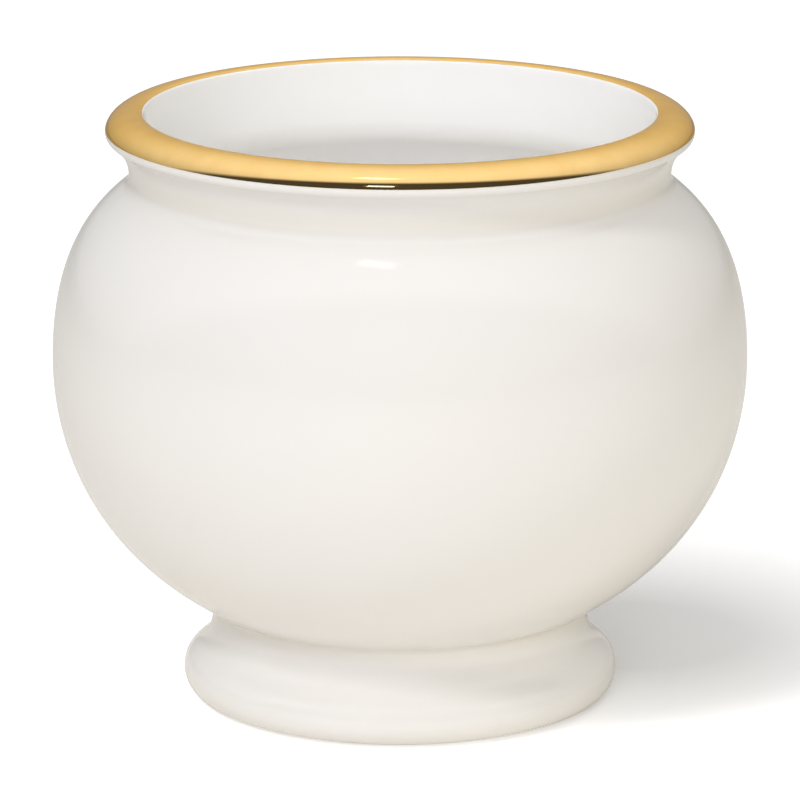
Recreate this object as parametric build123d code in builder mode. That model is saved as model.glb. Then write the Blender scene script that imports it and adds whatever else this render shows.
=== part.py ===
"""Round porcelain vase on a pedestal foot, with a flared lip gilded in gold.

Two porcelain castings, the body and the foot, are joined with liquid clay (slip) and fired as one.
The glaze coats and the gold band are films of their own, fired onto the surfaces beneath them.
Every piece is a section, radius against height, turned once about Z. Z is up, and the origin is the
middle of the ring that the vase stands on. Lengths are in millimetres, angles in degrees.
"""

from build123d import *
from math import cos, radians, sin, tan
import os

# Body, bare porcelain, from the foot up
underside_angle = 28.0  # how steeply the body leaves the foot
underside_pull = 43.8
belly_radius = 88.7
belly_height = 88.6  # height of the widest point
shoulder_lean = 51.5  # how far the shoulder leans in where it meets the neck
shoulder_radius = 70.5
shoulder_height = 133.3
neck_hollow = 4.7  # radius of the hollow under the flare
flare_hollow = 11.5  # radius of the sweep out to the lip
flare_angle = 56.0
edge_round = 1.7  # radius under the lip's outer edge
crest_radius = 67.5
vase_height = 152.8
mouth_round = 5.3  # curve of the lip from its crest in to the mouth
mouth_turn = 21.0
mouth_corner = 0.3  # radius of the lip's crisp inner corner
throat_radius = 65.1
throat_height = 136.5
throat_round = 8.0
wall = 4.7
floor_height = 29.5

# Foot, bare porcelain
foot_radius = 55.7
toe_radius = 49.0  # outer edge of the ring that meets the table
toe_height = 6.1  # height of the foot's widest point
stem_radius = 48.1
foot_height = 23.6
ring_radius = 46.0  # inner edge of the ring that meets the table
ring_bevel = 0.8
recess_mouth = 45.2
recess_radius = 43.3

# Slip joint and fired films
slip_thickness = 0.6
bead_radius = 2.2  # hollow bead of slip in the corner under the body
glaze = 0.3
gold = 0.1
wiped_toe_angle = -50.0  # the toe is wiped free of glaze below this angle
wiped_ring_height = 1.6  # and the inside of the foot below this height
gold_edge_angle = 7.0  # angle round the lip's outer edge where the gold stops

base_height = foot_height + slip_thickness
inside_radius = belly_radius - wall
bead_turn = 90 - underside_angle
bead_reach = bead_radius * tan(radians(bead_turn / 2))
bead_height = base_height - bead_reach

# Outermost point of the lip, where the flare has turned out and its edge has turned upright again
neck_drop = neck_hollow * (1 - cos(radians(shoulder_lean)))
flare_reach = (flare_hollow + edge_round) * (1 - cos(radians(flare_angle)))
flare_rise = (flare_hollow + edge_round) * sin(radians(flare_angle))
edge_radius = shoulder_radius - neck_drop + flare_reach
edge_height = shoulder_height + neck_hollow * sin(radians(shoulder_lean)) + flare_rise


def ray(angle, length):
    """Step of a given length, at an angle above the horizontal."""
    return Vector(cos(radians(angle)), sin(radians(angle))) * length


bead_end = Vector(stem_radius, base_height) + ray(underside_angle, bead_reach)


# Each outline is drawn on the bare porcelain, or lifted off it by the thickness of a film


def foot_side(toe_angle, lift=0):
    """Outside of the foot, from an angle round its toe up to the slip bead."""
    flank_radius = foot_radius + lift
    upright_radius = stem_radius + lift
    toe = EllipticalCenterArc(
        (toe_radius, toe_height), flank_radius - toe_radius, toe_height + lift, toe_angle, arc_size=-toe_angle
    )
    Bezier(toe @ 1, (flank_radius, 13.8), (upright_radius, 10.0), (upright_radius, bead_height))
    return toe @ 0


def slip_bead(lift=0):
    """Hollow bead of slip in the corner between the foot's stem and the body."""
    JernArc((stem_radius + lift, bead_height), (0, 1), bead_radius - lift, -bead_turn)


def body_side(lift=0):
    """Outside of the body, from the slip bead over belly, shoulder, neck and flare to the lip's edge."""
    outwards = ray(underside_angle - 90, lift)
    waist = bead_end + outwards
    pull = waist + ray(underside_angle, underside_pull)
    belly = Bezier(waist, pull, (belly_radius + lift, 80.6), (belly_radius + lift, belly_height))
    shoulder_end = Vector(shoulder_radius, shoulder_height) + ray(shoulder_lean, lift)
    pull = shoulder_end + ray(shoulder_lean - 90, 9)
    shoulder = Bezier(belly @ 1, (belly_radius + lift, 117.5), pull, shoulder_end)
    neck = JernArc(shoulder @ 1, shoulder % 1, neck_hollow - lift, -shoulder_lean)
    flare = JernArc(neck @ 1, neck % 1, flare_hollow - lift, -flare_angle)
    JernArc(flare @ 1, flare % 1, edge_round + lift, flare_angle)


def lip_crest(from_angle, lift=0):
    """Rounded top of the lip, from an angle round its outer edge up to its crest."""
    crest = EllipticalCenterArc(
        (crest_radius, edge_height),
        edge_radius - crest_radius + lift,
        vase_height - edge_height + lift,
        from_angle,
        arc_size=90 - from_angle,
    )
    return crest @ 0, crest @ 1


def lip_mouth(lift=0):
    """Gentle slope of the lip from its crest in to the corner of the mouth."""
    return JernArc((crest_radius, vase_height + lift), (-1, 0), mouth_round + lift, mouth_turn)


def body_inside(lift=0):
    """Inside of the body, from the lip's crest down the throat to the middle of the floor."""
    mouth = lip_mouth(lift)
    corner = JernArc(mouth @ 1, mouth % 1, mouth_corner + lift, 90 - mouth_turn)
    narrow = (throat_radius - lift, throat_height)
    throat = Bezier(corner @ 1, (corner @ 1) - (0, 5), (throat_radius - lift, 141), narrow)
    turn = JernArc(throat @ 1, throat % 1, throat_round + lift, shoulder_lean)
    hollow = inside_radius - lift
    pull = turn @ 1 + ray(shoulder_lean - 90, 11)
    shoulder = Bezier(turn @ 1, pull, (hollow, 112), (hollow, belly_height))
    Bezier(shoulder @ 1, (hollow, 55), (70, floor_height + lift), (0, floor_height + lift))
    return mouth @ 0, Vector(0, floor_height + lift)


def glazed_outside(lift):
    """Everything that the outer glaze covers, from the wiped toe to the lip's crest."""
    start = foot_side(wiped_toe_angle, lift)
    slip_bead(lift)
    body_side(lift)
    return start, lip_crest(0, lift)[1]


def glazed_recess(lift):
    """The underside of the body and the inside of the foot, down to the wiped ring."""
    share = (wiped_ring_height - ring_bevel) / (foot_height - ring_bevel)
    ring = recess_mouth + (recess_radius - recess_mouth) * share
    middle = Vector(0, base_height - lift)
    wiped = Vector(ring - lift, wiped_ring_height)
    corner_radius = recess_radius - lift
    Polyline(middle, (corner_radius, base_height - lift), (corner_radius, foot_height), wiped)
    return middle, wiped


def gilded_lip(lift):
    """The part of the lip under the gold, from its outer edge to the corner of the mouth."""
    start = lip_crest(gold_edge_angle, lift)[0]
    return start, lip_mouth(lift) @ 1


def film(outline, underneath, top):
    """Section of a film, between one outline at two lifts."""
    inner_start, inner_end = outline(underneath)
    outer_start, outer_end = outline(top)
    Line(inner_start, outer_start)
    Line(inner_end, outer_end)


# The body: one slip-cast vessel, closed at the base and open at the mouth
with BuildPart() as vase_body:
    with BuildSketch(Plane.XZ):
        with BuildLine():
            Polyline((0, floor_height), (0, base_height), (stem_radius, base_height), bead_end)
            body_side()
            lip_crest(0)
            body_inside()
        make_face()
    revolve(axis=Axis.Z)
vase_body.part.label = "vase_body"

# The pedestal foot: a hollow ring, open underneath, that stands on a narrow bare rim
with BuildPart() as pedestal_foot:
    with BuildSketch(Plane.XZ):
        with BuildLine():
            foot_side(-90)
            Polyline(
                (stem_radius, bead_height),
                (stem_radius, foot_height),
                (recess_radius, foot_height),
                (recess_mouth, ring_bevel),
                (ring_radius, 0),
                (toe_radius, 0),
            )
        make_face()
    revolve(axis=Axis.Z)
pedestal_foot.part.label = "pedestal_foot"

# The slip that bonds them: a thin layer on top of the foot, wiped into a hollow bead outside
with BuildPart() as slip_joint:
    with BuildSketch(Plane.XZ):
        with BuildLine():
            slip_bead()
            Polyline(
                bead_end,
                (stem_radius, base_height),
                (recess_radius, base_height),
                (recess_radius, foot_height),
                (stem_radius, foot_height),
                (stem_radius, bead_height),
            )
        make_face()
    revolve(axis=Axis.Z)
slip_joint.part.label = "slip_joint"

# Ivory glaze over the outside, foot and body together
with BuildPart() as outer_glaze:
    with BuildSketch(Plane.XZ):
        with BuildLine():
            film(glazed_outside, 0, glaze)
        make_face()
    revolve(axis=Axis.Z)
outer_glaze.part.label = "outer_glaze"

# White glaze rinsed round the inside
with BuildPart() as inner_glaze:
    with BuildSketch(Plane.XZ):
        with BuildLine():
            film(body_inside, 0, glaze)
        make_face()
    revolve(axis=Axis.Z)
inner_glaze.part.label = "inner_glaze"

# Glaze in the hollow underneath
with BuildPart() as recess_glaze:
    with BuildSketch(Plane.XZ):
        with BuildLine():
            film(glazed_recess, 0, glaze)
        make_face()
    revolve(axis=Axis.Z)
recess_glaze.part.label = "recess_glaze"

# Gold fired on last, over the glaze of the lip
with BuildPart() as gold_rim:
    with BuildSketch(Plane.XZ):
        with BuildLine():
            film(gilded_lip, glaze, glaze + gold)
        make_face()
    revolve(axis=Axis.Z)
gold_rim.part.label = "gold_rim"

os.makedirs("parts", exist_ok=True)
export_step(vase_body.part, "parts/vase_body.step")
export_step(pedestal_foot.part, "parts/pedestal_foot.step")
export_step(slip_joint.part, "parts/slip_joint.step")
export_step(outer_glaze.part, "parts/outer_glaze.step")
export_step(inner_glaze.part, "parts/inner_glaze.step")
export_step(recess_glaze.part, "parts/recess_glaze.step")
export_step(gold_rim.part, "parts/gold_rim.step")
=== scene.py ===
"""Round porcelain vase on a pedestal foot, with a flared lip gilded in gold."""

import math

import bpy
import numpy as np
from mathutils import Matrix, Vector


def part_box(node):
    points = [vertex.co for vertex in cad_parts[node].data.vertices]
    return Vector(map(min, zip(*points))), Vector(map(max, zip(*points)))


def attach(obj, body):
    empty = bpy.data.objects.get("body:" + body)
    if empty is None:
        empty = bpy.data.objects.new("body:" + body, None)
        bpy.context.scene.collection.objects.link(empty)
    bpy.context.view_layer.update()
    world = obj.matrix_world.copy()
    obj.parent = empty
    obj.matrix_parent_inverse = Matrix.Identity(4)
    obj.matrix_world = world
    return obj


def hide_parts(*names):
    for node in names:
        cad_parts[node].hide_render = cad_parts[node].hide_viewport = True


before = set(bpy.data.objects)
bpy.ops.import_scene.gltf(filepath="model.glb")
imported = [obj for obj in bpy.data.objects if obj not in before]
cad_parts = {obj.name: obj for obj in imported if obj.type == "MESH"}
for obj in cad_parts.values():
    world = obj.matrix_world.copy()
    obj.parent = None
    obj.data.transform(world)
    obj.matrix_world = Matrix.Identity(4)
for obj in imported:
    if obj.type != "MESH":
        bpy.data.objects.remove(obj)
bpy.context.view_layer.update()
mm = 0.001


# --- Body casting -------------------------------------------------------------------------------
# The vessel is cast in liquid porcelain (slip), with a wall of about 5 mm, and fired twice. Glaze
# hides all of it, so the casting itself stays as it was designed and only gets its bare porcelain.

base_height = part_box("vase_body")[0][2]
crest_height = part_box("vase_body")[1][2]
belly_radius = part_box("vase_body")[1][0]


def colour(red, green, blue):
    """Opaque colour from its three parts."""
    return (red, green, blue, 1.0)


def new_material(name):
    """Empty node material, with its nodes, links, output and one Principled shader."""
    material = bpy.data.materials.new(name)
    material.use_nodes = True
    nodes = material.node_tree.nodes
    nodes.clear()
    output = nodes.new("ShaderNodeOutputMaterial")
    shader = nodes.new("ShaderNodeBsdfPrincipled")
    material.node_tree.links.new(shader.outputs["BSDF"], output.inputs["Surface"])
    return material, shader


def new_group(name, inputs, outputs):
    """Empty node group. An input is a name, a kind and a starting value; an output a name and kind."""
    group = bpy.data.node_groups.new(name, "ShaderNodeTree")
    for label, kind, value in inputs:
        socket = group.interface.new_socket(label, in_out="INPUT", socket_type=kind)
        socket.default_value = value
    for label, kind in outputs:
        group.interface.new_socket(label, in_out="OUTPUT", socket_type=kind)
    return group, group.nodes.new("NodeGroupInput"), group.nodes.new("NodeGroupOutput")


def noise_node(tree, vector, scale, detail=3.0, roughness=0.5):
    """Noise texture read at the given coordinates."""
    noise = tree.nodes.new("ShaderNodeTexNoise")
    noise.inputs["Scale"].default_value = scale
    noise.inputs["Detail"].default_value = detail
    noise.inputs["Roughness"].default_value = roughness
    tree.links.new(vector, noise.inputs["Vector"])
    return noise.outputs["Fac"]


def ranged(tree, value, low, high, to_low, to_high):
    """Value carried from one range to another, and held at the ends of the second."""
    node = tree.nodes.new("ShaderNodeMapRange")
    ends = {"From Min": low, "From Max": high, "To Min": to_low, "To Max": to_high}
    for label, number in ends.items():
        node.inputs[label].default_value = number
    tree.links.new(value, node.inputs["Value"])
    return node.outputs["Result"]


def mixed(tree, factor, first, second):
    """Blend of two colours, each a socket or a fixed colour."""
    node = tree.nodes.new("ShaderNodeMix")
    node.data_type = "RGBA"
    tree.links.new(factor, node.inputs["Factor"])
    for label, source in (("A", first), ("B", second)):
        socket = next(s for s in node.inputs if s.name == label and s.type == "RGBA")
        if isinstance(source, tuple):
            socket.default_value = source
        else:
            tree.links.new(source, socket)
    return next(s for s in node.outputs if s.type == "RGBA")


def bare_porcelain():
    """Fired, unglazed porcelain: chalky white, with a fine tooth and faint iron specks."""
    grey_clay = colour(0.74, 0.70, 0.63)
    white_clay = colour(0.80, 0.77, 0.71)
    iron_brown = colour(0.42, 0.33, 0.24)
    smooth, chalky = 0.62, 0.82
    material, shader = new_material("bare_porcelain")
    tree = material.node_tree
    place = tree.nodes.new("ShaderNodeTexCoord").outputs["Object"]
    cloud = ranged(tree, noise_node(tree, place, scale=60, detail=4), 0.35, 0.65, 0, 1)
    specks = ranged(tree, noise_node(tree, place, scale=900, detail=1), 0.70, 0.76, 0, 1)
    clay = mixed(tree, cloud, grey_clay, white_clay)
    tree.links.new(mixed(tree, specks, clay, iron_brown), shader.inputs["Base Color"])
    tooth = noise_node(tree, place, scale=2600, detail=5, roughness=0.7)
    tree.links.new(ranged(tree, tooth, 0.3, 0.7, smooth, chalky), shader.inputs["Roughness"])
    bump = tree.nodes.new("ShaderNodeBump")
    bump.inputs["Strength"].default_value = 0.35
    bump.inputs["Distance"].default_value = 0.05 * mm
    tree.links.new(tooth, bump.inputs["Height"])
    tree.links.new(bump.outputs["Normal"], shader.inputs["Normal"])
    return material


porcelain = bare_porcelain()


def give_material(piece, material):
    """The piece's only material."""
    piece.data.materials.clear()
    piece.data.materials.append(material)


give_material(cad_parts["vase_body"], porcelain)


# --- Slip joint ---------------------------------------------------------------------------------
# A thin layer of the same slip bonds the foot to the body, and its squeezed-out edge is wiped into
# a hollow bead. It is porcelain too once fired, and lies wholly under the glaze.

bead_radius = 2.2 * mm
underside_angle = 28.0
give_material(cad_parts["slip_joint"], porcelain)


# --- Pedestal foot ------------------------------------------------------------------------------
# The foot is a hollow ring, cast by itself and open underneath. Only the narrow rim that it stands
# on is left bare, and that is ground flat after firing so that the vase doesn't rock.

foot_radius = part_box("pedestal_foot")[1][0]
foot_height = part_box("pedestal_foot")[1][2]
stem_radius = 48.1 * mm
toe_radius = 49.0 * mm
toe_height = 6.1 * mm
ring_radius = 46.0 * mm
ring_bevel = 0.8 * mm
recess_mouth = 45.2 * mm
recess_radius = 43.3 * mm
flank_pull = 13.8 * mm
stem_pull = 10.0 * mm
turns = 256
touching = 1e-7


def step(angle, length):
    """Step of a given length along a heading in degrees, 0 outwards and 90 upwards."""
    return np.array([math.cos(math.radians(angle)), math.sin(math.radians(angle))]) * length


def line(start, end, count=8):
    """Evenly spaced points on a straight run: start + t (end - start)."""
    t = np.linspace(0, 1, count)[:, None]
    return np.asarray(start) * (1 - t) + np.asarray(end) * t


def bezier(a, b, c, d, count=40):
    """Points on the cubic curve (1-t)^3 a + 3(1-t)^2 t b + 3(1-t)t^2 c + t^3 d."""
    t = np.linspace(0, 1, count)[:, None]
    ends = np.asarray(a) * (1 - t) ** 3 + np.asarray(d) * t**3
    return ends + 3 * np.asarray(b) * (1 - t) ** 2 * t + 3 * np.asarray(c) * (1 - t) * t**2


def arc(start, heading, radius, turn, count=20):
    """Points on a circular arc that leaves start along a heading and turns, left being positive."""
    side = math.copysign(1, turn)
    centre = np.asarray(start) + side * step(heading + 90, radius)
    angles = np.radians(heading - side * 90 + np.linspace(0, turn, count))
    return centre + radius * np.column_stack([np.cos(angles), np.sin(angles)])


def ellipse(centre, wide, high, first, last, count=28):
    """Points on an ellipse, centre + (wide cos a, high sin a), from one angle to another."""
    angles = np.radians(np.linspace(first, last, count))
    return np.asarray(centre) + np.column_stack([wide * np.cos(angles), high * np.sin(angles)])


def joined(*runs):
    """Runs of points laid end to end, with the shared end points kept once."""
    points = np.vstack(runs)
    apart = np.linalg.norm(np.diff(points, axis=0), axis=1) > touching
    return points[np.concatenate([[True], apart])]


def turned(name, outline, underneath):
    """Mesh of a closed outline turned about Z: at angle a its point (r, z) is (r cos a, r sin a, z).

    The outline runs up the outside and back down underneath, so that faces point outwards. A point on
    the axis is one vertex, with a fan of triangles round it, so a pole leaves no hole.
    """
    outline = joined(outline, underneath)
    if np.linalg.norm(outline[0] - outline[-1]) < touching:
        outline = outline[:-1]
    angles = np.linspace(0, 2 * np.pi, turns, endpoint=False)
    grid = np.empty((len(outline), turns, 3))
    grid[:, :, 0] = outline[:, :1] * np.cos(angles)
    grid[:, :, 1] = outline[:, :1] * np.sin(angles)
    grid[:, :, 2] = outline[:, 1:]
    polar = outline[:, 0] < 10 * touching
    ids = np.arange(len(outline) * turns).reshape(-1, turns)
    ids[polar] = ids[polar, :1]
    above = np.roll(ids, -1, axis=0)
    corners = np.stack([ids, np.roll(ids, -1, axis=1), np.roll(above, -1, axis=1), above], axis=-1)
    polar_above = np.roll(polar, -1)
    quads = corners[~polar & ~polar_above].reshape(-1, 4)
    from_pole = corners[polar & ~polar_above][:, :, [0, 2, 3]].reshape(-1, 3)
    to_pole = corners[~polar & polar_above][:, :, [0, 1, 2]].reshape(-1, 3)
    used = np.unique(np.concatenate([quads.ravel(), from_pole.ravel(), to_pole.ravel()]))
    faces = [np.searchsorted(used, part).tolist() for part in (quads, from_pole, to_pole)]
    mesh = bpy.data.meshes.new(name)
    mesh.from_pydata(grid.reshape(-1, 3)[used].tolist(), [], faces[0] + faces[1] + faces[2])
    mesh.polygons.foreach_set("use_smooth", np.ones(len(mesh.polygons), dtype=bool))
    mesh.set_sharp_from_angle(angle=math.radians(40))
    mesh.update()
    piece = bpy.data.objects.new(name, mesh)
    bpy.context.scene.collection.objects.link(piece)
    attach(piece, "root")
    return piece


bead_turn = 90 - underside_angle
bead_reach = bead_radius * math.tan(math.radians(bead_turn / 2))
bead_height = base_height - bead_reach
bead_end = np.array([stem_radius, base_height]) + step(underside_angle, bead_reach)


def foot_side(toe_angle, lift=0.0):
    """Outside of the foot, from an angle round its toe up to the bead, lifted off the porcelain."""
    flank, stem = foot_radius + lift, stem_radius + lift
    toe = ellipse((toe_radius, toe_height), flank - toe_radius, toe_height + lift, toe_angle, 0)
    return joined(toe, bezier(toe[-1], (flank, flank_pull), (stem, stem_pull), (stem, bead_height)))


def foot_outline():
    """Outside of the foot up to its flat top, and its inside back down to the rim that it stands on."""
    outside = joined(foot_side(-90), line((stem_radius, bead_height), (stem_radius, foot_height), 3))
    top = line((stem_radius, foot_height), (recess_radius, foot_height), 4)
    inside = line((recess_radius, foot_height), (recess_mouth, ring_bevel), 12)
    bevel = line((recess_mouth, ring_bevel), (ring_radius, 0), 4)
    rim = line((ring_radius, 0), (toe_radius, 0), 5)
    return outside, joined(top, inside, bevel, rim)


foot = turned("foot_casting", *foot_outline())
give_material(foot, porcelain)
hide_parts("pedestal_foot")


# --- Outer glaze --------------------------------------------------------------------------------
# Ivory glaze, sprayed over foot and body together, from the wiped toe up to the lip's crest. It
# lies about 0.3 mm thick. Painted shade makes it darker and creamier at the slip bead and under the lip.

glaze = 0.3 * mm
wiped_toe_angle = -50.0
underside_pull = 43.8 * mm
belly_pull = 80.6 * mm
belly_height = 88.6 * mm
shoulder_pull = 117.5 * mm
neck_pull = 9 * mm
shoulder_lean = 51.5
shoulder_end = np.array([70.5, 133.3]) * mm
neck_hollow = 4.7 * mm
neck_height = 138 * mm
flare_hollow = 11.5 * mm
flare_angle = 56.0
edge_round = 1.7 * mm
crest_radius = 67.5 * mm
neck_drop = neck_hollow * (1 - math.cos(math.radians(shoulder_lean)))
flare_reach = (flare_hollow + edge_round) * (1 - math.cos(math.radians(flare_angle)))
flare_rise = (flare_hollow + edge_round) * math.sin(math.radians(flare_angle))
edge_radius = shoulder_end[0] - neck_drop + flare_reach
edge_height = shoulder_end[1] + neck_hollow * math.sin(math.radians(shoulder_lean)) + flare_rise


def slip_bead(lift=0.0):
    """Hollow bead of slip, where the foot's stem meets the underside of the body."""
    return arc((stem_radius + lift, bead_height), 90, bead_radius - lift, -bead_turn)


def body_side(lift=0.0):
    """Outside of the body, from the slip bead over belly, shoulder, neck and flare to the lip's edge."""
    waist = bead_end + step(underside_angle - 90, lift)
    pull = waist + step(underside_angle, underside_pull)
    widest = belly_radius + lift
    belly = bezier(waist, pull, (widest, belly_pull), (widest, belly_height), 64)
    top = shoulder_end + step(shoulder_lean, lift)
    below_top = top - step(90 + shoulder_lean, neck_pull)
    shoulder = bezier((widest, belly_height), (widest, shoulder_pull), below_top, top, 48)
    neck = arc(top, 90 + shoulder_lean, neck_hollow - lift, -shoulder_lean)
    flare = arc(neck[-1], 90, flare_hollow - lift, -flare_angle)
    edge = arc(flare[-1], 90 - flare_angle, edge_round + lift, flare_angle)
    return joined(belly, shoulder, neck, flare, edge)


def lip_crest(from_angle, lift=0.0):
    """Rounded top of the lip, from an angle round its outer edge up to its crest."""
    wide = edge_radius - crest_radius + lift
    return ellipse((crest_radius, edge_height), wide, crest_height - edge_height + lift, from_angle, 90)


def glazed_outside(lift):
    """Everything that the outer glaze covers, from the wiped toe to the lip's crest."""
    return joined(foot_side(wiped_toe_angle, lift), slip_bead(lift), body_side(lift), lip_crest(0, lift))


def paint_shade(piece, places):
    """Mark where painted shade darkens the glaze, as the sum over its places of darkness exp(-((z -
    place)/spread)^2).
    """
    mesh = piece.data
    heights = np.empty(len(mesh.vertices) * 3)
    mesh.vertices.foreach_get("co", heights)
    heights = heights.reshape(-1, 3)[:, 2]
    painted_shade = sum(darkness * np.exp(-(((heights - place) / spread) ** 2)) for place, spread, darkness in places)
    mesh.attributes.new("painted_shade", "FLOAT", "POINT").data.foreach_set("value", np.clip(painted_shade, 0, 1))


def fired_surface():
    """Group: colour, roughness and normal of a fired glaze, which turns darker where painted shade is laid
    on it, and a little at random.
    """
    thinnest, thickest = -0.06, 0.14
    polished, smeared = 0.045, 0.085
    group, given, result = new_group(
        "fired_surface",
        [
            ("Glaze", "NodeSocketColor", colour(0.8, 0.8, 0.8)),
            ("Darker Glaze", "NodeSocketColor", colour(0.7, 0.7, 0.7)),
            ("Painted Shade", "NodeSocketFloat", 0.0),
            ("Ripple Height", "NodeSocketFloat", 0.1),
        ],
        [("Color", "NodeSocketColor"), ("Roughness", "NodeSocketFloat"), ("Normal", "NodeSocketVector")],
    )
    place = group.nodes.new("ShaderNodeTexCoord").outputs["Object"]
    drift = noise_node(group, place, scale=14, detail=2)
    darkness = group.nodes.new("ShaderNodeMath")
    darkness.operation = "ADD"
    darkness.use_clamp = True
    group.links.new(given.outputs["Painted Shade"], darkness.inputs[0])
    group.links.new(ranged(group, drift, 0.35, 0.75, thinnest, thickest), darkness.inputs[1])
    base = mixed(group, darkness.outputs[0], given.outputs["Glaze"], given.outputs["Darker Glaze"])
    group.links.new(base, result.inputs["Color"])
    smear = noise_node(group, place, scale=45, detail=4, roughness=0.6)
    group.links.new(ranged(group, smear, 0.35, 0.75, polished, smeared), result.inputs["Roughness"])
    bump = group.nodes.new("ShaderNodeBump")
    bump.inputs["Distance"].default_value = 0.1 * mm
    group.links.new(given.outputs["Ripple Height"], bump.inputs["Strength"])
    group.links.new(noise_node(group, place, scale=110, detail=3), bump.inputs["Height"])
    group.links.new(bump.outputs["Normal"], result.inputs["Normal"])
    return group


fired_surface_group = fired_surface()


def glaze_material(name, glaze_colour, darker_colour, ripple):
    """Glossy fired glaze: its colours, plain and darker for painted shade, and how strongly it ripples."""
    material, shader = new_material(name)
    tree = material.node_tree
    surface = tree.nodes.new("ShaderNodeGroup")
    surface.node_tree = fired_surface_group
    surface.inputs["Glaze"].default_value = glaze_colour
    surface.inputs["Darker Glaze"].default_value = darker_colour
    surface.inputs["Ripple Height"].default_value = ripple
    painted_shade = tree.nodes.new("ShaderNodeAttribute")
    painted_shade.attribute_name = "painted_shade"
    tree.links.new(painted_shade.outputs["Fac"], surface.inputs["Painted Shade"])
    tree.links.new(surface.outputs["Color"], shader.inputs["Base Color"])
    tree.links.new(surface.outputs["Roughness"], shader.inputs["Roughness"])
    tree.links.new(surface.outputs["Normal"], shader.inputs["Normal"])
    shader.inputs["IOR"].default_value = 1.52
    return material


outside = turned("outer_glaze_film", glazed_outside(glaze), glazed_outside(0)[::-4])
# Painted shade: darker, creamier glaze in the crease at the slip bead and under the lip.
paint_shade(outside, [(base_height, 3 * mm, 0.6), (neck_height, 3 * mm, 0.6)])
plain_ivory = colour(0.838, 0.817, 0.792)
painted_shade_ivory = colour(0.79, 0.75, 0.68)
ivory = glaze_material("ivory_glaze", plain_ivory, painted_shade_ivory, ripple=0.04)
give_material(outside, ivory)
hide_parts("outer_glaze")


# --- Inner glaze --------------------------------------------------------------------------------
# Glaze, poured in and swilled round, from the lip's crest down to the floor of the vase. Its ivory is
# painted whiter, as painted light, and painted shade makes it creamier in the turn under the throat and in
# the bottom of the bowl.

mouth_round = 5.3 * mm
mouth_turn = 21.0
mouth_corner = 0.3 * mm
throat_radius = 65.1 * mm
throat_height = 136.5 * mm
throat_round = 8.0 * mm
wall = 4.7 * mm
floor_height = 29.5 * mm
mouth_pull = 5 * mm
throat_pull = 141 * mm
turn_height = 132 * mm
turn_pull = 11 * mm
hollow_pull = 112 * mm
bowl_pull = 55 * mm
floor_pull = 70 * mm


def lip_mouth(lift=0.0):
    """Gentle slope of the lip from its crest in to the corner of the mouth."""
    return arc((crest_radius, crest_height + lift), 180, mouth_round + lift, mouth_turn, 12)


def body_inside(lift=0.0):
    """Inside of the body, from the lip's crest down the throat to the middle of the floor."""
    mouth = lip_mouth(lift)
    corner = arc(mouth[-1], 180 + mouth_turn, mouth_corner + lift, 90 - mouth_turn, 6)
    narrow = np.array([throat_radius - lift, throat_height])
    throat = bezier(corner[-1], corner[-1] - [0, mouth_pull], (narrow[0], throat_pull), narrow, 16)
    turn = arc(narrow, 270, throat_round + lift, shoulder_lean, 16)
    hollow = belly_radius - wall - lift
    pull = turn[-1] + step(270 + shoulder_lean, turn_pull)
    shoulder = bezier(turn[-1], pull, (hollow, hollow_pull), (hollow, belly_height), 40)
    floor = floor_height + lift
    bowl = bezier(shoulder[-1], (hollow, bowl_pull), (floor_pull, floor), (0, floor), 60)
    return joined(mouth, corner, throat, turn, shoulder, bowl)


inside = turned("inner_glaze_film", body_inside(glaze), body_inside(0)[::-2])
# Painted shade: creamier glaze at the bottom of the bowl and in the turn under the throat.
paint_shade(inside, [(floor_height, 6 * mm, 0.6), (turn_height, 5 * mm, 0.4)])
# Painted light: the ivory is made whiter inside than outside.
brightened_ivory = colour(0.97, 0.96, 0.945)
brightened_ivory_shade = colour(0.955, 0.93, 0.89)
brightened_glaze = glaze_material("white_glaze", brightened_ivory, brightened_ivory_shade, ripple=0.05)
give_material(inside, brightened_glaze)
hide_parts("inner_glaze")


# --- Recess glaze -------------------------------------------------------------------------------
# The hollow underneath has the same glaze as the inside, painted whiter as painted light, poured in and
# tipped out, so that it washes clean.
# It is wiped back from the rim that the vase stands on, so that it can't stick to the kiln shelf.

wiped_ring_height = 1.6 * mm


def glazed_recess(lift):
    """The underside of the body and the inside of the foot, down to the wiped rim."""
    share = (wiped_ring_height - ring_bevel) / (foot_height - ring_bevel)
    ring = recess_mouth + (recess_radius - recess_mouth) * share
    corner = recess_radius - lift
    ceiling = line((0, base_height - lift), (corner, base_height - lift), 30)
    side = line((corner, base_height - lift), (corner, foot_height), 2)
    return joined(ceiling, side, line((corner, foot_height), (ring - lift, wiped_ring_height), 16))


recess = turned("recess_glaze_film", glazed_recess(glaze), glazed_recess(0)[::-1])
# Painted shade: darker glaze over the ceiling of the recess, under the body.
paint_shade(recess, [(base_height, 2 * mm, 0.4)])
give_material(recess, brightened_glaze)
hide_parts("recess_glaze")


# --- Gold rim -----------------------------------------------------------------------------------
# Liquid gold, brushed over the glaze of the lip in a last and cooler firing. The flat top is a
# little soft from wear and brushing, and the outer edge stays as bright as a mirror.

gold = 0.1 * mm
gold_edge_angle = 7.0
worn_width = 1.6 * mm


def gilded_lip(lift):
    """The part of the lip under the gold, from its outer edge to the corner of the mouth."""
    return joined(lip_crest(gold_edge_angle, lift), lip_mouth(lift))


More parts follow.
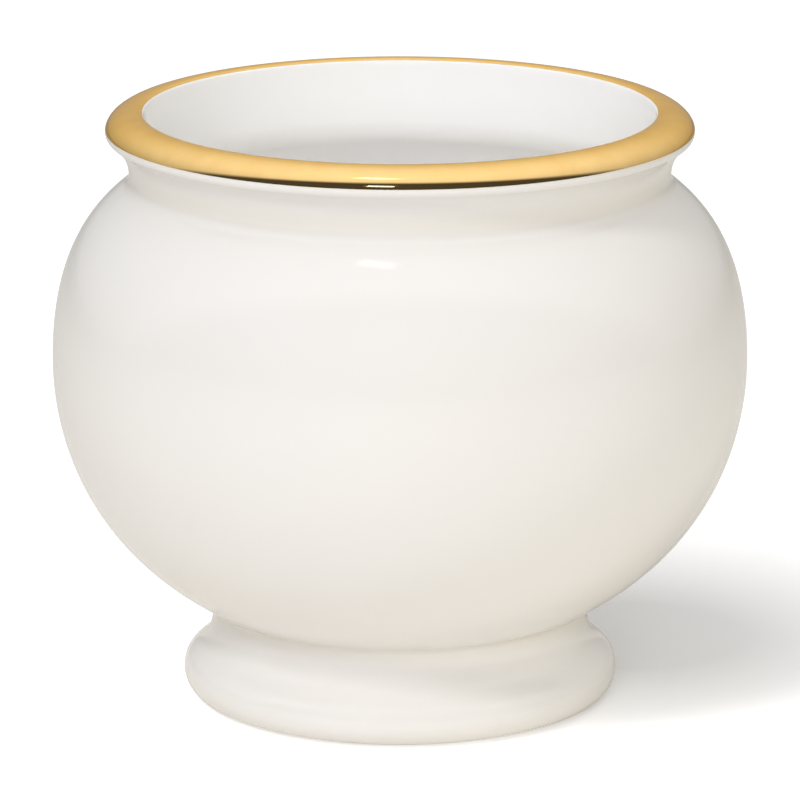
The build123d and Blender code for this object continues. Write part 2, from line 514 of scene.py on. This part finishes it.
def gold_material():
    """Fired gold: warm metal, faintly uneven, with a mirror-like edge and a softer worn top."""
    pale_gold = colour(0.95, 0.65, 0.27)
    deep_gold = colour(0.91, 0.60, 0.23)
    grazing_gold = colour(0.92, 0.75, 0.48)
    mirror_edge, soft_top = 0.05, 0.17
    material, shader = new_material("fired_gold")
    tree = material.node_tree
    place = tree.nodes.new("ShaderNodeTexCoord").outputs["Object"]
    worn = tree.nodes.new("ShaderNodeAttribute")
    worn.attribute_name = "worn"
    cloud = noise_node(tree, place, scale=120, detail=4, roughness=0.6)
    tone = ranged(tree, cloud, 0.35, 0.7, 0, 1)
    tree.links.new(mixed(tree, tone, pale_gold, deep_gold), shader.inputs["Base Color"])
    softness = ranged(tree, worn.outputs["Fac"], 0, 1, mirror_edge, soft_top)
    tree.links.new(softness, shader.inputs["Roughness"])
    shader.inputs["Metallic"].default_value = 1.0
    shader.inputs["Specular Tint"].default_value = grazing_gold
    bump = tree.nodes.new("ShaderNodeBump")
    bump.inputs["Strength"].default_value = 0.06
    bump.inputs["Distance"].default_value = 0.05 * mm
    tree.links.new(noise_node(tree, place, scale=380, detail=3), bump.inputs["Height"])
    tree.links.new(bump.outputs["Normal"], shader.inputs["Normal"])
    return material


rim = turned("gold_band", gilded_lip(glaze + gold), gilded_lip(glaze)[::-1])
rim_points = np.empty(len(rim.data.vertices) * 3)
rim.data.vertices.foreach_get("co", rim_points)
rim_points = rim_points.reshape(-1, 3)
rim_reach = np.hypot(rim_points[:, 0], rim_points[:, 1])
worn_share = np.clip((edge_radius - rim_reach) / worn_width, 0, 1)
rim.data.attributes.new("worn", "FLOAT", "POINT").data.foreach_set("value", worn_share)
give_material(rim, gold_material())
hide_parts("gold_rim")


# --- Floor --------------------------------------------------------------------------------------
# A wide sheet of white paper that the vase stands on, laid flat and lit from above. It glows, which
# is painted light, and the glow is held back round a spot beside the foot, which paints a shadow there.

floor_reach = 6.0
painted_shadow_spot = (0.062, 0.045, 0)
painted_shadow_inner = 0.03
painted_shadow_outer = 0.105
darkening_start = 0.15
darkening_end = 1.1


def floor_material():
    """White paper, as seen by the camera and as it lights other things.

    The camera sees it near white, with a painted glow that fades in away from the spot of painted shadow.
    To all other rays it glows about half as much, and it darkens away from the vase, so as not to flood it.
    """
    grey_paper = colour(0.93, 0.93, 0.93)
    clear_paper = colour(0.95, 0.95, 0.95)
    near_bounce = colour(0.74, 0.71, 0.66)
    far_bounce = colour(0.25, 0.24, 0.22)
    painted_shadow_glow = colour(0.03, 0.03, 0.03)
    open_glow = colour(0.45, 0.45, 0.45)
    painted_shadow_spread = colour(0.02, 0.02, 0.02)
    open_spread = colour(0.22, 0.215, 0.20)
    material, shader = new_material("white_paper")
    tree = material.node_tree
    place = tree.nodes.new("ShaderNodeTexCoord").outputs["Object"]
    seen = tree.nodes.new("ShaderNodeLightPath").outputs["Is Camera Ray"]
    cloud = ranged(tree, noise_node(tree, place, scale=8, detail=2), 0.3, 0.7, 0, 1)
    paper = mixed(tree, cloud, grey_paper, clear_paper)
    away = tree.nodes.new("ShaderNodeVectorMath")
    away.operation = "LENGTH"
    tree.links.new(place, away.inputs[0])
    darkening = ranged(tree, away.outputs["Value"], darkening_start, darkening_end, 0, 1)
    bounced = mixed(tree, darkening, near_bounce, far_bounce)
    tree.links.new(mixed(tree, seen, bounced, paper), shader.inputs["Base Color"])
    shader.inputs["Roughness"].default_value = 0.8
    shader.inputs["Specular IOR Level"].default_value = 0.2
    # Painted light and painted shadow: the glow is nearly gone at the spot beside the foot.
    aside = tree.nodes.new("ShaderNodeVectorMath")
    aside.operation = "DISTANCE"
    aside.inputs[1].default_value = painted_shadow_spot
    tree.links.new(place, aside.inputs[0])
    opening = ranged(tree, aside.outputs["Value"], painted_shadow_inner, painted_shadow_outer, 0, 1)
    glow = mixed(tree, opening, painted_shadow_glow, open_glow)
    spread = mixed(tree, opening, painted_shadow_spread, open_spread)
    tree.links.new(mixed(tree, seen, spread, glow), shader.inputs["Emission Color"])
    shader.inputs["Emission Strength"].default_value = 1.0
    return material


floor_corners = [(x * floor_reach, y * floor_reach, 0) for x, y in ((-1, -1), (1, -1), (1, 1), (-1, 1))]
floor_mesh = bpy.data.meshes.new("floor")
floor_mesh.from_pydata(floor_corners, [], [(0, 1, 2, 3)])
floor = bpy.data.objects.new("floor", floor_mesh)
bpy.context.scene.collection.objects.link(floor)
give_material(floor, floor_material())


# --- Studio lights ------------------------------------------------------------------------------
# Softboxes in front and at both sides shade the vase but aren't mirrored in it. A narrow spot above
# lights the bowl, and two small lamps leave highlights. The sky is pale overhead and behind.

centre = Vector((0, 0, 0.09))


def softbox(name, azimuth, elevation, distance, size, power, tint=(1, 1, 1), mirrored=False):
    """Rectangular light that faces the vase. Azimuth is from the front, positive to the right."""
    light = bpy.data.lights.new(name, "AREA")
    light.shape = "RECTANGLE"
    light.size, light.size_y = size
    light.energy = power
    light.color = tint
    lamp = bpy.data.objects.new(name, light)
    turn = math.radians(azimuth)
    rise = math.radians(elevation)
    away = Vector((math.sin(turn) * math.cos(rise), -math.cos(turn) * math.cos(rise), math.sin(rise)))
    lamp.location = centre + away * distance
    lamp.rotation_euler = (-away).to_track_quat("-Z", "Y").to_euler()
    lamp.visible_camera = False
    lamp.visible_glossy = mirrored
    bpy.context.scene.collection.objects.link(lamp)
    return lamp


large = (1.0, 1.0)
medium = (0.35, 0.35)
small = (0.25, 0.15)
softbox("front_middle", 0, 20, 1.9, large, power=13.8, tint=(0.98, 1, 1.06))
softbox("key_left", -36, 42, 1.9, medium, power=10.4)
softbox("right_side", 62, 12, 1.9, large, power=5.6, tint=(1.08, 1, 0.76))
softbox("left_side", -75, 15, 1.9, large, power=1.6, tint=(1.04, 1, 0.9))
softbox("small_lamp", -22, 76, 1.6, small, power=0.22, mirrored=True)

snoot = bpy.data.lights.new("snoot", "SPOT")
snoot.energy = 21
snoot.spot_size = math.radians(6.8)
snoot.spot_blend = 0.6
snoot.shadow_soft_size = 0.02
snoot_lamp = bpy.data.objects.new("snoot", snoot)
snoot_lamp.location = (0, 0, 1.2)
snoot_lamp.visible_glossy = False
snoot_lamp.visible_camera = False
bpy.context.scene.collection.objects.link(snoot_lamp)

pinpoint = softbox("pinpoint", -7.7, 31, 1.6, small, power=0.5, mirrored=True)
sparkling = bpy.data.collections.new("sparkling")
for piece in (rim, inside):
    sparkling.objects.link(piece)
pinpoint.light_linking.receiver_collection = sparkling


def computed(tree, operation, first, second):
    """Sum or product of a socket and another socket or a fixed number."""
    node = tree.nodes.new("ShaderNodeMath")
    node.operation = operation
    tree.links.new(first, node.inputs[0])
    if isinstance(second, float):
        node.inputs[1].default_value = second
    else:
        tree.links.new(second, node.inputs[1])
    return node.outputs[0]


def along(tree, direction, heading):
    """Dot product of a direction and a fixed heading."""
    dot = tree.nodes.new("ShaderNodeVectorMath")
    dot.operation = "DOT_PRODUCT"
    tree.links.new(direction, dot.inputs[0])
    dot.inputs[1].default_value = heading
    return dot.outputs["Value"]


def room():
    """Sky of soft panels overhead and behind, and a dark room in front, where the camera stands.

    With s = d . (back and up) and z = d . up, a direction d has strength
    dark + ramp(s) (low + (high - low) z). Diffuse rays get a share of that, and the camera sees white.
    """
    back_and_up = (0, math.cos(math.radians(40)), math.sin(math.radians(40)))
    ramp_start, ramp_end = -0.07, 0.16
    dark = 0.07
    low, high = 0.46, 1.12
    diffuse_share = 0.6
    world = bpy.data.worlds.new("room")
    world.use_nodes = True
    tree = world.node_tree
    background = tree.nodes["Background"]
    direction = tree.nodes.new("ShaderNodeTexCoord").outputs["Generated"]
    ramp = ranged(tree, along(tree, direction, back_and_up), ramp_start, ramp_end, 0, 1)
    panels = ranged(tree, along(tree, direction, (0, 0, 1)), 0, 1, low, high)
    strength = computed(tree, "ADD", computed(tree, "MULTIPLY", ramp, panels), dark)
    path = tree.nodes.new("ShaderNodeLightPath")
    share = ranged(tree, path.outputs["Is Diffuse Ray"], 0, 1, 1.0, diffuse_share)
    shown = tree.nodes.new("ShaderNodeMix")
    tree.links.new(path.outputs["Is Camera Ray"], shown.inputs[0])
    tree.links.new(computed(tree, "MULTIPLY", strength, share), shown.inputs[2])
    shown.inputs[3].default_value = 1.0
    tree.links.new(shown.outputs[0], background.inputs["Strength"])
    background.inputs["Color"].default_value = colour(1.0, 1.0, 1.0)
    return world


bpy.context.scene.world = room()


# --- Camera -------------------------------------------------------------------------------------
# A long lens on a stand, about 1.4 m in front of the vase and looking a little down on it, so that
# the whole vase and the mouth's near ellipse are in the picture.

camera_data = bpy.data.cameras.new("camera")
camera_data.lens = 259.9
camera_data.sensor_width = 36
camera = bpy.data.objects.new("camera", camera_data)
camera.location = (0, -1.4376, 0.4495)
camera_aim = Vector((0, 0, 0.07675))
camera.rotation_euler = (camera_aim - camera.location).to_track_quat("-Z", "Y").to_euler()
bpy.context.scene.collection.objects.link(camera)
bpy.context.scene.camera = camera
bpy.context.scene.view_settings.view_transform = "Standard"
